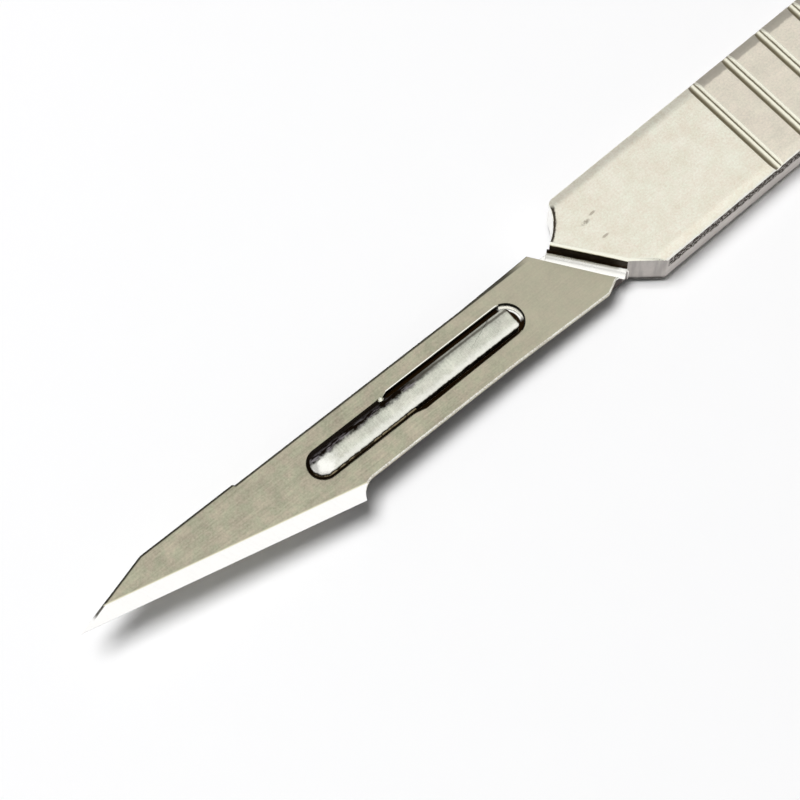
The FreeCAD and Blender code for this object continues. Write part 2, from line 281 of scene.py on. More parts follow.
def arc_through(a, b, c, steps):
    """Points on the arc from a through b to c, both ends left out."""
    ax, ay, bx, by, cx, cy = a[0], a[1], b[0], b[1], c[0], c[1]
    d = 2 * (ax * (by - cy) + bx * (cy - ay) + cx * (ay - by))
    a2, b2, c2 = ax * ax + ay * ay, bx * bx + by * by, cx * cx + cy * cy
    ux = (a2 * (by - cy) + b2 * (cy - ay) + c2 * (ay - by)) / d
    uy = (a2 * (cx - bx) + b2 * (ax - cx) + c2 * (bx - ax)) / d
    radius = math.hypot(ax - ux, ay - uy)
    first = math.atan2(ay - uy, ax - ux)
    turn_b = (math.atan2(by - uy, bx - ux) - first) % math.tau
    turn_c = (math.atan2(cy - uy, cx - ux) - first) % math.tau
    if turn_b > turn_c:
        turn_c -= math.tau
    points = []
    for i in range(1, steps):
        angle = first + turn_c * i / steps
        points.append((ux + radius * math.cos(angle), uy + radius * math.sin(angle)))
    return points


def rounded_corner(before, corner, after, radius, steps):
    """Points of the tangent arc that rounds a corner, both ends kept."""
    corner = Vector(corner)
    to_before = (Vector(before) - corner).normalized()
    to_after = (Vector(after) - corner).normalized()
    half = to_before.angle(to_after) / 2
    start = corner + to_before * (radius / math.tan(half))
    end = corner + to_after * (radius / math.tan(half))
    inward = (to_before + to_after).normalized()
    middle = corner + inward * (radius / math.sin(half) - radius)
    return [tuple(start)] + arc_through(start, middle, end, steps) + [tuple(end)]


def turned(point, blade):
    """From the fitting's straight lie to its slightly turned place beside the handle's axis."""
    c, s = math.cos(blade.turn), math.sin(blade.turn)
    return (point[0] * c + point[1] * s, -point[0] * s + point[1] * c + blade.side_offset)


def turn_matrix(blade):
    return Matrix.Translation((0, blade.side_offset, 0)) @ Matrix.Rotation(-blade.turn, 4, "Z")


def step_x(y, handle, blade):
    """The foot of the slanted step at one place across the handle."""
    slant = math.tan(blade.heel_slant)
    gap = handle.step_gap / math.cos(blade.heel_slant)
    return blade.side_offset * slant - gap - slant * y


# Mesh tools, all in millimetres from the seat

def filled_plan(loops, chains, cuts):
    """A flat mesh bounded by the loops and divided along the chains and the cuts."""
    plan = bmesh.new()
    edges = []
    known = {}
    for path, closed in [(loop, True) for loop in loops] + [(chain, False) for chain in chains]:
        verts = []
        for x, y in path:
            key = (round(x / EPS), round(y / EPS))
            if key not in known:
                known[key] = plan.verts.new((x, y, 0))
            verts.append(known[key])
        following = verts[1:] + verts[:1] if closed else verts[1:]
        edges += [plan.edges.new(pair) for pair in zip(verts, following)]
    bmesh.ops.triangle_fill(plan, use_beauty=True, edges=edges, normal=(0, 0, 1))
    for place, normal in cuts:
        geometry = plan.verts[:] + plan.edges[:] + plan.faces[:]
        bmesh.ops.bisect_plane(plan, geom=geometry, dist=EPS, plane_co=place, plane_no=normal)
    bmesh.ops.recalc_face_normals(plan, faces=plan.faces[:])
    if sum(f.normal.z * f.calc_area() for f in plan.faces) < 0:
        bmesh.ops.reverse_faces(plan, faces=plan.faces[:])
    return plan


def plan_solid(loops, cuts, top, bottom):
    """A closed mesh over a plan; top and bottom give its heights."""
    return stepped_solid(loops, [], cuts, top, bottom, lambda x, y: False, 0.0)


def stepped_solid(loops, chains, cuts, top, bottom, inside, foot):
    """As plan_solid, but what lies inside the chains reaches down to the foot."""
    plan = filled_plan(loops, chains, cuts)
    deep = {f: inside(*f.calc_center_median().xy) for f in plan.faces}
    solid = bmesh.new()
    upper, lower, lowest = {}, {}, {}
    for v in plan.verts:
        kinds = {deep[f] for f in v.link_faces}
        x, y = v.co.xy
        upper[v] = solid.verts.new((x, y, top(x, y)))
        if False in kinds:
            lower[v] = solid.verts.new((x, y, bottom(x, y)))
        if True in kinds:
            lowest[v] = solid.verts.new((x, y, foot))
    for face in plan.faces:
        base = lowest if deep[face] else lower
        solid.faces.new([upper[v] for v in face.verts])
        solid.faces.new([base[v] for v in reversed(face.verts)])
    for edge in plan.edges:
        if len(edge.link_loops) == 1:
            loop = edge.link_loops[0]
            a, b = loop.vert, loop.link_loop_next.vert
            base = lowest if deep[loop.face] else lower
            between_b = [lower[b]] if deep[loop.face] and b in lower else []
            between_a = [lower[a]] if deep[loop.face] and a in lower else []
            solid.faces.new([base[a], base[b]] + between_b + [upper[b], upper[a]] + between_a)
        elif len({deep[f] for f in edge.link_faces}) == 2:
            loop = [l for l in edge.link_loops if deep[l.face]][0]
            a, b = loop.vert, loop.link_loop_next.vert
            solid.faces.new([lowest[a], lowest[b], lower[b], lower[a]])
    plan.free()
    tidy(solid)
    return solid


def tidy(solid):
    """Flat neighbours become one face, and doubled points become one."""
    bmesh.ops.remove_doubles(solid, verts=solid.verts[:], dist=EPS)
    bmesh.ops.dissolve_limit(
        solid, angle_limit=FLAT, verts=solid.verts[:], edges=solid.edges[:], use_dissolve_boundaries=False,
    )


def cut_away(solid, place, normal):
    """Takes off what lies on the normal's side of a plane and closes the cut."""
    geometry = solid.verts[:] + solid.edges[:] + solid.faces[:]
    cut = bmesh.ops.bisect_plane(solid, geom=geometry, dist=EPS, plane_co=place, plane_no=normal, clear_outer=True)
    edges = [e for e in cut["geom_cut"] if isinstance(e, bmesh.types.BMEdge)]
    bmesh.ops.holes_fill(solid, edges=edges)


def prism(section, along, length):
    """A closed mesh: a section in space pushed along a direction."""
    solid = bmesh.new()
    first = [solid.verts.new(p) for p in section]
    last = [solid.verts.new(p + along * length) for p in section]
    solid.faces.new(first)
    solid.faces.new(list(reversed(last)))
    for side in zip(first[1:] + first[:1], first, last, last[1:] + last[:1]):
        solid.faces.new(side)
    bmesh.ops.recalc_face_normals(solid, faces=solid.faces[:])
    return solid


def work_object(name, solid):
    """A passing object, in millimetres, that modifiers can work on."""
    mesh = bpy.data.meshes.new(name)
    solid.to_mesh(mesh)
    solid.free()
    obj = bpy.data.objects.new(name, mesh)
    bpy.context.scene.collection.objects.link(obj)
    return obj


@contextmanager
def opened(obj):
    """The object's mesh, open for changes that are kept at the end."""
    solid = bmesh.new()
    solid.from_mesh(obj.data)
    yield solid
    solid.to_mesh(obj.data)
    solid.free()


def settle(obj):
    """The object's evaluated shape becomes its plain mesh."""
    graph = bpy.context.evaluated_depsgraph_get()
    mesh = bpy.data.meshes.new_from_object(obj.evaluated_get(graph))
    obj.modifiers.clear()
    old = obj.data
    obj.data = mesh
    bpy.data.meshes.remove(old)


def reshape(obj, name, kind, **values):
    """Runs one modifier on the object and keeps its result."""
    step = obj.modifiers.new(name, kind)
    for key, value in values.items():
        setattr(step, key, value)
    settle(obj)


def unite(base, others):
    """Joins the other objects to the first, one after another, and uses them up."""
    for other in others:
        reshape(base, "join", "BOOLEAN", operation="UNION", solver="EXACT", object=other)
        bpy.data.objects.remove(other)


def soften(obj, width):
    """Fine rounds on every crisp edge."""
    with opened(obj) as solid:
        tidy(solid)
    reshape(
        obj, "fine edges", "BEVEL", limit_method="ANGLE", angle_limit=CRISP, width=width, segments=2,
        use_clamp_overlap=False, miter_outer="MITER_ARC",
    )


def finish_piece(obj, name, handle, nodes, materials, chooser):
    """Moves the mesh to its place in metres, shades it, gives it its finishes and its body."""
    obj.name = name
    obj.data.name = name
    obj.data.materials.clear()
    for material in materials:
        obj.data.materials.append(material)
    with opened(obj) as solid:
        bmesh.ops.remove_doubles(solid, verts=solid.verts[:], dist=EPS)
        for face in solid.faces:
            face.smooth = True
            face.material_index = chooser(face)
        move = Matrix.Scale(MM, 4) @ Matrix.Translation((seat_along(handle), 0, 0))
        bmesh.ops.transform(solid, matrix=move, verts=solid.verts[:])
    obj.data.set_sharp_from_angle(angle=SHARP)
    reshape(obj, "even shading", "WEIGHTED_NORMAL", keep_sharp=True, weight=100, thresh=0.0001)
    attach(obj, ROOT_BODY)
    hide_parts(*nodes)


# Handle shapes

def edge_fall(distance, handle):
    """Drop of the shallow edge round, at a distance in from the side."""
    width, drop = handle.edge_round_width, handle.edge_round_drop
    if distance >= width:
        return 0.0
    radius = (width * width + drop * drop) / (2 * drop)
    reach = width - max(distance, 0.0)
    return radius - math.sqrt(radius * radius - reach * reach)


def grip_plan(handle, blade):
    half = handle.width / 2
    near_y = tang_near(handle, blade)
    far_y = blade.side_offset - handle.tang_width / 2 + handle.hollow_inset
    near_front = (step_x(near_y, handle, blade), near_y)
    far_front = (step_x(far_y, handle, blade), far_y)
    near_side = (near_front[0] - (half - near_y) / math.tan(handle.shoulder_angle), half)
    far_side = (far_front[0] - (half + far_y) / math.tan(handle.hollow_angle), -half)
    tail = tail_along(handle)
    radius = handle.tail_radius
    near_tail = rounded_corner(near_side, (tail, half), (tail, -half), radius, 14)
    far_tail = rounded_corner((tail, half), (tail, -half), far_side, radius, 14)
    corner = rounded_corner((tail, -half), far_side, far_front, handle.hollow_radius, 8)
    start, end = Vector(corner[-1]), Vector(far_front)
    bow = Vector((-(end - start).y, (end - start).x)).normalized() * handle.hollow_sag
    hollow = arc_through(start, (start + end) / 2 + bow, end, 14)
    return [far_front, near_front, near_side] + near_tail + far_tail + corner + hollow


def grip_blank(handle, blade):
    """The grip without its grooves: flat faces, crowned long edges, slanted front."""
    half, thick, low = handle.width / 2, handle.thickness, handle.under_break
    tail = tail_along(handle)
    round_width = handle.edge_round_width

    def from_side(x, y):
        return min(half - abs(y), x - tail)

    # Lines along the sides and the tail, closer together where the edge round falls steeper.
    steps = 6
    ins = [round_width * (1 - math.sin(math.pi / 2 * i / steps)) for i in range(steps)] + [low]
    cuts = []
    for inward in ins:
        cuts.append(((0, half - inward, 0), (0, 1, 0)))
        cuts.append(((0, inward - half, 0), (0, 1, 0)))
        cuts.append(((tail + inward, 0, 0), (1, 0, 0)))
    for side in (-1, 1):
        cuts.append(((tail, side * half, 0), (1, side, 0)))
    solid = plan_solid(
        [grip_plan(handle, blade)], cuts,
        lambda x, y: thick - edge_fall(from_side(x, y), handle), lambda x, y: max(0.0, low - from_side(x, y)),
    )
    near_y = tang_near(handle, blade)
    corner = Vector((step_x(near_y, handle, blade), near_y, thick - handle.step_break))
    shoulder_out = Vector((math.sin(handle.shoulder_angle), math.cos(handle.shoulder_angle), 0))
    for out in (step_out(blade), shoulder_out):
        cut_away(solid, corner, out + Vector((0, 0, 1)))
    return work_object("blank", solid)


def foot_fill(handle, blade):
    """The small radius between the step and the tang, as long as the tang is wide."""
    slant, radius = blade.heel_slant, handle.foot_radius
    out = step_out(blade)
    along = Vector((-math.sin(slant), math.cos(slant), 0))
    near_y = tang_near(handle, blade)
    far_y = near_y - handle.tang_width
    base = Vector((step_x(far_y, handle, blade), far_y, handle.tang_thickness))
    length = (near_y - far_y) / math.cos(slant)
    up = Vector((0, 0, 1))
    # So far the fill reaches into the step and the tang, to join them without a seam.
    sink = 0.08
    section = [base - out * sink - up * sink, base + out * radius - up * sink]
    for i in range(7):
        angle = math.pi / 2 * i / 6
        section.append(base + out * radius * (1 - math.sin(angle)) + up * radius * (1 - math.cos(angle)))
    section.append(base - out * sink + up * radius)
    return work_object("foot", prism(section, along, length))


def tang_plan(handle, blade):
    half, reach = handle.tang_width / 2, handle.tang_reach
    straight = reach - half
    nose = arc_through((straight, -half), (reach, 0), (straight, half), 28)
    root = -handle.tang_root
    points = [(root, -half), (straight, -half)] + nose + [(straight, half), (root, half)]
    return [turned(p, blade) for p in points]


def tang_solid(handle, blade):
    solid = plan_solid([tang_plan(handle, blade)], [], lambda x, y: handle.tang_thickness, lambda x, y: 0.0)
    return work_object("tang", solid)


def stud_crown(handle, blade):
    """The height of the stud's back."""
    return handle.tang_thickness + blade.thickness + handle.stud_rise


def dome_top(handle, blade):
    """Height of the stud's rounded back over a point of the straight-lying fitting."""
    radius = handle.stud_dome
    crown = stud_crown(handle, blade)
    front = flange_front(handle)

    def top(u, v):
        across = v + handle.flange_shift
        ahead = max(0.0, u - front)
        return crown - radius + math.sqrt(max(0.0, radius * radius - across * across - ahead * ahead))

    return top


def stud_cuts(handle, half):
    """Lines that let the rounded back and the ball-shaped nose curve."""
    front = flange_front(handle)
    along = [((0, -handle.flange_shift + half * i / 8, 0), (0, 1, 0)) for i in range(-8, 9)]
    return along + [((front + half * i / 8, 0, 0), (1, 0, 0)) for i in range(8)]


def stud_solid(handle, blade):
    """The rounded stud: its front part overhangs the blade, its key goes down to the tang."""
    neck, half = handle.stud_width / 2, handle.flange_width / 2
    shift, start = handle.flange_shift, handle.stud_start
    front = flange_front(handle)
    near, far = half - shift, -half - shift
    over = handle.tang_thickness + blade.thickness + handle.flange_gap
    crown = stud_crown(handle, blade)
    # So far the key reaches into the tang, to join it without a seam.
    sink = 0.1

    def flange_rear(v):
        return handle.flange_start + handle.step_slant * (near - v) / (near - far)

    def in_key(u, v):
        ahead = max(0.0, u - front)
        return math.hypot(ahead, v) < neck if ahead else abs(v) < neck

    radius = handle.stud_corner
    rear = rounded_corner((front, neck), (start, neck), (start, -neck), radius, 8)
    rear += rounded_corner((start, neck), (start, -neck), (front, -neck), radius, 8)
    nose = arc_through((front, far), (handle.stud_end, -shift), (front, near), 28)
    outline = rear + [(flange_rear(-neck), -neck), (flange_rear(far), far), (front, far)] + nose
    outline += [(front, near), (flange_rear(near), near), (flange_rear(neck), neck)]
    key_nose = arc_through((front, -neck), (front + neck, 0), (front, neck), 20)
    key = [(flange_rear(-neck), -neck), (front, -neck)] + key_nose + [(front, neck), (flange_rear(neck), neck)]
    solid = stepped_solid(
        [outline], [key], stud_cuts(handle, half), dome_top(handle, blade), lambda u, v: over,
        in_key, handle.tang_thickness - sink,
    )
    slope = handle.ramp_drop / (handle.ramp_start - start)
    cut_away(solid, Vector((handle.ramp_start, 0, crown)), Vector((-slope, 0, 1)))
    bmesh.ops.transform(solid, matrix=turn_matrix(blade), verts=solid.verts[:])
    return work_object("stud", solid)


def nib_centre(handle, blade):
    across = -handle.flange_width / 2 - handle.flange_shift + handle.nib_radius
    along = handle.flange_start + handle.step_slant + handle.nib_radius
    return Vector((along, across, dome_top(handle, blade)(along, across)))


def stud_nib(handle, blade):
    """The small raised burr at the flange's far rear corner."""
    solid = bmesh.new()
    bmesh.ops.create_uvsphere(solid, u_segments=16, v_segments=10, radius=handle.nib_radius)
    place = turn_matrix(blade) @ Matrix.Translation(nib_centre(handle, blade))
    bmesh.ops.transform(solid, matrix=place, verts=solid.verts[:])
    return work_object("nib", solid)


# Blade shapes

def blade_tip(blade):
    along = blade.length - blade.shank_width / 2 * math.tan(blade.heel_slant)
    return (along, -blade.tip_offset)


def blade_plan(blade):
    half = blade.shank_width / 2
    slant = math.tan(blade.heel_slant)
    heel = half + blade.heel_flare
    cut_y = heel - blade.heel_cut_across
    back = -half - blade.back_step
    corner = (blade.edge_corner_along, blade.edge_corner_out)
    run, out = blade.edge_corner_run, blade.edge_corner_out - half
    run_start = (corner[0] - run, half)
    half_turn = math.atan2(out, run)
    radius = math.hypot(run, out) / (2 * math.sin(half_turn))
    run_middle = (run_start[0] + radius * math.sin(half_turn), half + radius * (1 - math.cos(half_turn)))
    return [
        (slant * heel, -heel),
        (blade.heel_flare_length, -half),
        (blade.back_step_along, -half),
        (blade.back_step_along + blade.back_step, back),
        (blade.clip_start, back),
        blade_tip(blade),
        corner,
    ] + arc_through(corner, run_middle, run_start, 14) + [
        run_start,
        (blade.heel_flare_length, half),
        (-slant * heel + blade.heel_cut_along, heel),
        (-slant * cut_y, cut_y),
    ]


def slot_plan(handle, blade):
    wide = handle.flange_width / 2 + blade.slot_side_gap
    narrow = handle.stud_width / 2 + blade.slot_neck_gap
    far, near = -wide - blade.slot_shift, wide - blade.slot_shift
    near_rear = near - blade.slot_rear_closing
    rear_x = blade.slot_start + (near_rear - far) / 2
    wide_end = blade.slot_narrow_start - blade.slot_narrowing
    lag = handle.step_slant
    front = flange_front(handle)
    rear = arc_through((rear_x, near_rear), (blade.slot_start, (near_rear + far) / 2), (rear_x, far), 32)
    nose = arc_through((front, -narrow), (front + narrow + blade.slot_end_gap, 0), (front, narrow), 24)
    return [(rear_x, near_rear)] + rear + [
        (rear_x, far),
        (wide_end + lag, far),
        (blade.slot_narrow_start + lag, -narrow),
        (front, -narrow),
    ] + nose + [
        (front, narrow),
        (blade.slot_narrow_start, narrow),
        (wide_end, near),
    ]


def edge_inward(blade):
    """Distance in from the cutting edge, for points of the straight-lying blade."""
    tip = Vector(blade_tip(blade))
    corner = Vector((blade.edge_corner_along, blade.edge_corner_out))
    along = (tip - corner).normalized()
    inward = Vector((along.y, -along.x))
    if inward.y > 0:
        inward = -inward

    def distance(u, v):
        return (Vector((u, v)) - corner).dot(inward)

    return distance, corner, inward


def blade_solid(handle, blade):
    distance, corner, inward = edge_inward(blade)
    middle = handle.tang_thickness + blade.thickness / 2
    slope = (blade.thickness - blade.edge_land) / 2 / blade.bevel_width

    def half_height(u, v):
        ground = blade.edge_land / 2 + slope * max(0.0, distance(u, v))
        return min(blade.thickness / 2, ground)

    place = corner + inward * blade.bevel_width
    cuts = [((place.x, place.y, 0), (inward.x, inward.y, 0))]
    return plan_solid(
        [blade_plan(blade), slot_plan(handle, blade)], cuts,
        lambda u, v: middle + half_height(u, v), lambda u, v: middle - half_height(u, v),
    )


def round_rims(obj, blade):
    """The press leaves rounded rims; the cutting edge stays keen and the slot's lower rim crisp."""
    distance = edge_inward(blade)[0]
    middle = (BLADE_LOW[2] + BLADE_HIGH[2]) / 2 / MM
    in_slot = blade.shank_width / 2 * 0.8
    with opened(obj) as solid:
        layer = solid.edges.layers.float.new("bevel_weight_edge")
        for edge in solid.edges:
            ends = [v.co for v in edge.verts]
            keen = all(distance(p.x, p.y) < blade.bevel_width * 0.98 for p in ends)
            upright = abs(ends[0].z - ends[1].z) > EPS
            folded = len(edge.link_faces) == 2 and edge.calc_face_angle() > FOLDED
            slot = all(abs(p.y) < in_slot and p.x < blade.back_step_along for p in ends)
            back = all(p.x > blade.back_step_along - EPS and p.y < -0.5 for p in ends)
            lower = slot and all(p.z < middle for p in ends)
            if folded and not keen and not upright and not lower:
                near = all(p.y > 0 for p in ends)
                edge[layer] = 0.9 if slot or near else 0.8 if back else 0.5
    reshape(
        obj, "pressed rims", "BEVEL", limit_method="WEIGHT", width=blade.rim_round, segments=3,
        use_clamp_overlap=False,
    )


# Node trees

def add_node(tree, kind, inputs, output=0, **choices):
    """A new node with its choices and its inputs, each plain or a Value; gives one output as a Value."""
    node = tree.nodes.new(kind)
    for key, value in choices.items():
        setattr(node, key, value)
    for key, value in inputs.items():
        if isinstance(value, Value):
            value.plug(node.inputs[key])
        else:
            node.inputs[key].default_value = value
    return Value(tree, node.outputs[output])


class Value:
    """One output in a node tree, which can be reckoned with as a number can."""

    def __init__(self, tree, socket):
        self.tree, self.socket = tree, socket

    def plug(self, socket):
        self.tree.links.new(self.socket, socket)

    def siblings(self):
        """All outputs of the same node, by name."""
        return {socket.name: Value(self.tree, socket) for socket in self.socket.node.outputs}

    def math(self, operation, other=0.0):
        return add_node(self.tree, "ShaderNodeMath", {0: self, 1: other}, operation=operation)

    def __add__(self, other):
        return self.math("ADD", other)

    def __sub__(self, other):
        return self.math("SUBTRACT", other)

    def __rsub__(self, number):
        return add_node(self.tree, "ShaderNodeMath", {0: number, 1: self}, operation="SUBTRACT")

    def __mul__(self, other):
        return self.math("MULTIPLY", other)

    def __truediv__(self, other):
        return self.math("DIVIDE", other)

    def ramp(self, low, high, to_low, to_high):
        """Smoothly from one value at low to the other at high."""
        ends = {"From Min": low, "From Max": high, "To Min": to_low, "To Max": to_high}
        return add_node(
            self.tree, "ShaderNodeMapRange", {"Value": self, **ends}, "Result", interpolation_type="SMOOTHSTEP",
        )

    def rise(self, low, high, full=1.0):
        return self.ramp(low, high, 0.0, full)

    def fall(self, low, high, full=1.0):
        return self.ramp(low, high, full, 0.0)

    def stripe(self, start, whole, fade, end, full=1.0):
        """Up between the first two places and down again between the last two."""
        return self.rise(start, whole) * self.fall(fade, end, full)


def distance_of(a, b):
    return (a * a + b * b).math("SQRT")


class Place:
    """The coordinates of a point, from which a tree draws its patterns."""

    def __init__(self, vector):
        self.tree, self.vector = vector.tree, vector

    def axis(self, index):
        return add_node(self.tree, "ShaderNodeSeparateXYZ", {0: self.vector}, index)

    @property
    def x(self):
        return self.axis(0)

    @property
    def y(self):
        return self.axis(1)

    @property
    def z(self):
        return self.axis(2)

    def stretched(self, scale, turn=0.0):
        inputs = {"Vector": self.vector, "Scale": scale, "Rotation": (0.0, 0.0, turn)}
        return Place(add_node(self.tree, "ShaderNodeMapping", inputs, "Vector"))

    def noise(self, scale, detail, roughness=0.55):
        inputs = {"Vector": self.vector, "Scale": scale, "Detail": detail, "Roughness": roughness}
        return add_node(self.tree, "ShaderNodeTexNoise", inputs, "Fac")

    def torn(self, value, scale, amount):
        """The value, moved up and down a little by noise, so that an edge drawn from it is ragged."""
        return value + (self.noise(scale, 3.0, 0.65) - 0.5) * amount


def new_group(name, kind, inputs, outputs):
    """An empty node group; gives its tree, its inputs by name and the sockets of its outputs."""
    tree = bpy.data.node_groups.new(name, kind)
    for way, sockets in (("INPUT", inputs), ("OUTPUT", outputs)):
        for label, what in sockets:
            tree.interface.new_socket(label, in_out=way, socket_type="NodeSocket" + what)
    source = Value(tree, tree.nodes.new("NodeGroupInput").outputs[0]).siblings()
    return tree, source, tree.nodes.new("NodeGroupOutput").inputs


# Cross grooves, cut by a node tree from a row of cutters

def groove_tree(material):
    """Geometry in, the same geometry with rows of cross grooves on both faces out."""
    sizes = ("First", "Pitch", "Top Width", "Floor Width", "Depth", "Thickness", "Reach")
    tree, source, result = new_group(
        "cross grooves", "GeometryNodeTree",
        [("Geometry", "Geometry")] + [(name, "Float") for name in sizes] + [("Count", "Int")],
        [("Geometry", "Geometry")],
    )
    top, depth, thickness = source["Top Width"], source["Depth"], source["Thickness"]

    def vector(x, y, z):
        return add_node(tree, "ShaderNodeCombineXYZ", {0: x, 1: y, 2: z})

    # One cutter: a bar across the handle, as wide at its foot as the groove's floor.
    cube = add_node(tree, "GeometryNodeMeshCube", {"Size": vector(top, source["Reach"], depth * 2.0)}, "Mesh")
    place = Place(add_node(tree, "GeometryNodeInputPosition", {}))
    growth = (top - source["Floor Width"]) / top * (place.z / depth) + 1.0
    cutter = add_node(
        tree, "GeometryNodeSetPosition", {"Geometry": cube, "Position": vector(place.x * growth, place.y, place.z)},
    )
    # The row of places, first on the upper face, then turned over for the lower face.
    start = vector((source["First"] + top * 0.5) * -1.0, 0.0, thickness)
    offset = vector(source["Pitch"] * -1.0, 0.0, 0.0)
    row = add_node(
        tree, "GeometryNodeMeshLine", {"Count": source["Count"], "Start Location": start, "Offset": offset}, "Mesh",
    )
    down = vector(0.0, 0.0, thickness * -1.0)
    low_row = add_node(tree, "GeometryNodeSetPosition", {"Geometry": row, "Offset": down})
    both = add_node(tree, "GeometryNodeJoinGeometry", {})
    for points, turn in ((row, 0.0), (low_row, math.pi)):
        inputs = {"Points": points, "Instance": cutter, "Rotation": (0.0, turn, 0.0)}
        add_node(tree, "GeometryNodeInstanceOnPoints", inputs).plug(both.socket.node.inputs[0])
    cutters = add_node(tree, "GeometryNodeRealizeInstances", {0: both})
    cut = add_node(
        tree, "GeometryNodeMeshBoolean", {"Mesh 1": source["Geometry"], "Mesh 2": cutters},
        operation="DIFFERENCE", solver="EXACT",
    )
    real = add_node(tree, "GeometryNodeRealizeInstances", {0: cut})
    add_node(tree, "GeometryNodeSetMaterial", {"Geometry": real, "Material": material}).plug(result[0])
    return tree


def cut_grooves(obj, handle, material):
    """Runs the groove tree on the blank."""
    tree = groove_tree(material)
    step = obj.modifiers.new("cross grooves", "NODES")
    step.node_group = tree
    values = {
        "First": handle.groove_first, "Pitch": handle.groove_pitch, "Top Width": handle.groove_top,
        "Floor Width": handle.groove_floor, "Depth": handle.groove_depth, "Thickness": handle.thickness,
        "Reach": handle.width * 2, "Count": handle.groove_count,
    }
    for item in tree.interface.items_tree:
        if item.in_out == "INPUT" and item.name in values:
            step[item.identifier] = values[item.name]
    settle(obj)


# Finishes

def seat_space(tree, handle, blade, straight):
    """Object coordinates in millimetres from the seat, straight along the fitting or along the handle."""
    offset, turn = (blade.side_offset * MM, -blade.turn) if straight else (0.0, 0.0)
    return Place(add_node(
        tree, "ShaderNodeMapping", {
            "Vector": add_node(tree, "ShaderNodeTexCoord", {}, "Object"),
            "Location": (seat_along(handle) * MM, offset, 0.0),
            "Rotation": (0.0, 0.0, turn), "Scale": (MM, MM, MM),
        }, "Vector", vector_type="TEXTURE",
    ))


def grain_group():
    """Fine parallel grinding lines with a cloudy unevenness under them."""
    tree, source, result = new_group(
        "ground grain", "ShaderNodeTree",
        [("Vector", "Vector")] + [(name, "Float") for name in ("Turn", "Lines", "Clouds", "Speckle")],
        [("Tone", "Float"), ("Hue", "Float"), ("Height", "Float")],
    )
    place = Place(source["Vector"])
    along = Place(add_node(
        tree, "ShaderNodeVectorRotate", {"Vector": source["Vector"], "Angle": source["Turn"]}, rotation_type="Z_AXIS",
    ))
    lines = (along.stretched((0.25, 9.0, 3.0)).noise(1.0, 2.0) - 0.5) * source["Lines"]
    clouds = (place.noise(0.8, 3.0, 0.6) - 0.5) * source["Clouds"]
    relief = lines + (place.noise(7.0, 2.0, 0.7) - 0.5) * source["Speckle"]
    (relief + clouds).plug(result["Tone"])
    place.noise(1.3, 3.0, 0.6).plug(result["Hue"])
    relief.plug(result["Height"])


def scuff_group():
    """Sparse small dents and rubbed spots."""
    tree, source, result = new_group(
        "scuffs", "ShaderNodeTree", [("Vector", "Vector"), ("Amount", "Float")], [("Mask", "Float")],
    )
    place = Place(source["Vector"])
    spots = add_node(
        tree, "ShaderNodeTexVoronoi", {"Vector": place.stretched((0.35, 0.8, 0.4), 0.7).vector, "Scale": 1.0},
        feature="F1", voronoi_dimensions="2D",
    ).siblings()
    rare = add_node(tree, "ShaderNodeSeparateColor", {0: spots["Color"]}).math("LESS_THAN", source["Amount"])
    near = spots["Distance"].fall(0.04, 0.16)
    (near * rare * place.noise(5.0, 2.0).rise(0.42, 0.60)).plug(result["Mask"])


def use_group(place, name, **values):
    """The shared effect of that name at a place, made the first time it is asked for; gives its outputs."""
    if name not in bpy.data.node_groups:
        {"ground grain": grain_group, "scuffs": scuff_group}[name]()
    inputs = {"Vector": place.vector, **values}
    return add_node(place.tree, "ShaderNodeGroup", inputs, node_tree=bpy.data.node_groups[name]).siblings()


def dimmed(colour, share):
    return tuple(c * share for c in colour)


def mixed(tree, first, second, factor, blend="MIX"):
    """Two colours, each plain or a Value, mixed by the factor."""
    first, second = (c if isinstance(c, Value) else (*c, 1.0) for c in (first, second))
    inputs = {0: factor, 6: first, 7: second}
    return add_node(tree, "ShaderNodeMix", inputs, 2, data_type="RGBA", blend_type=blend)


def warmed(tree, colour, hue, strength):
    """The colour, drifting between a warmer and a greener cast."""
    warm, green = (1 + strength, 1.0, 1.0), (1 - strength, 1.0, 1 - strength)
    return mixed(tree, colour, mixed(tree, warm, green, hue.rise(0.35, 0.65)), 1.0, "MULTIPLY")


def tinted(tree, colour, tone, strength):
    """The colour, lighter and darker by the tone."""
    light = tuple(min(1.0, c) for c in dimmed(colour, 1 + strength))
    return mixed(tree, dimmed(colour, 1 - strength), light, tone + 0.5)


def new_material(name):
    material = bpy.data.materials.new(name)
    material.use_nodes = True
    return material, material.node_tree, material.node_tree.nodes["Principled BSDF"].inputs


def metal(name, lie, colour, roughness, tone=0.10, lines=1.0, clouds=1.0, speckle=1.0,
          bump=0.04, turn=0.0, scuffs=0.0, patches=(), hue=0.0):
    """A metal finish whose tone, roughness and relief vary; patches lay other tones over it by place."""
    material, tree, shader = new_material(name)
    shader["Metallic"].default_value = 1.0
    place = seat_space(tree, *lie)
    grain = use_group(place, "ground grain", Turn=turn, Lines=lines, Clouds=clouds, Speckle=speckle)
    result = tinted(tree, colour, grain["Tone"], tone)
    if hue:
        result = warmed(tree, result, grain["Hue"], hue)
    rough = grain["Tone"] * 0.12 + roughness
    height = grain["Height"]
    if scuffs:
        marks = use_group(place, "scuffs", Amount=scuffs)["Mask"]
        result = mixed(tree, result, dimmed(colour, 0.45), marks)
        height = height - marks * 2.0
    for mask_of, patch_colour, rougher in patches:
        mask = mask_of(place)
        result = mixed(tree, result, patch_colour, mask)
        rough = rough + mask * rougher
    result.plug(shader["Base Color"])
    rough.plug(shader["Roughness"])
    inputs = {"Strength": bump, "Distance": RELIEF, "Height": height}
    add_node(tree, "ShaderNodeBump", inputs, "Normal").plug(shader["Normal"])
    return material


# Operators

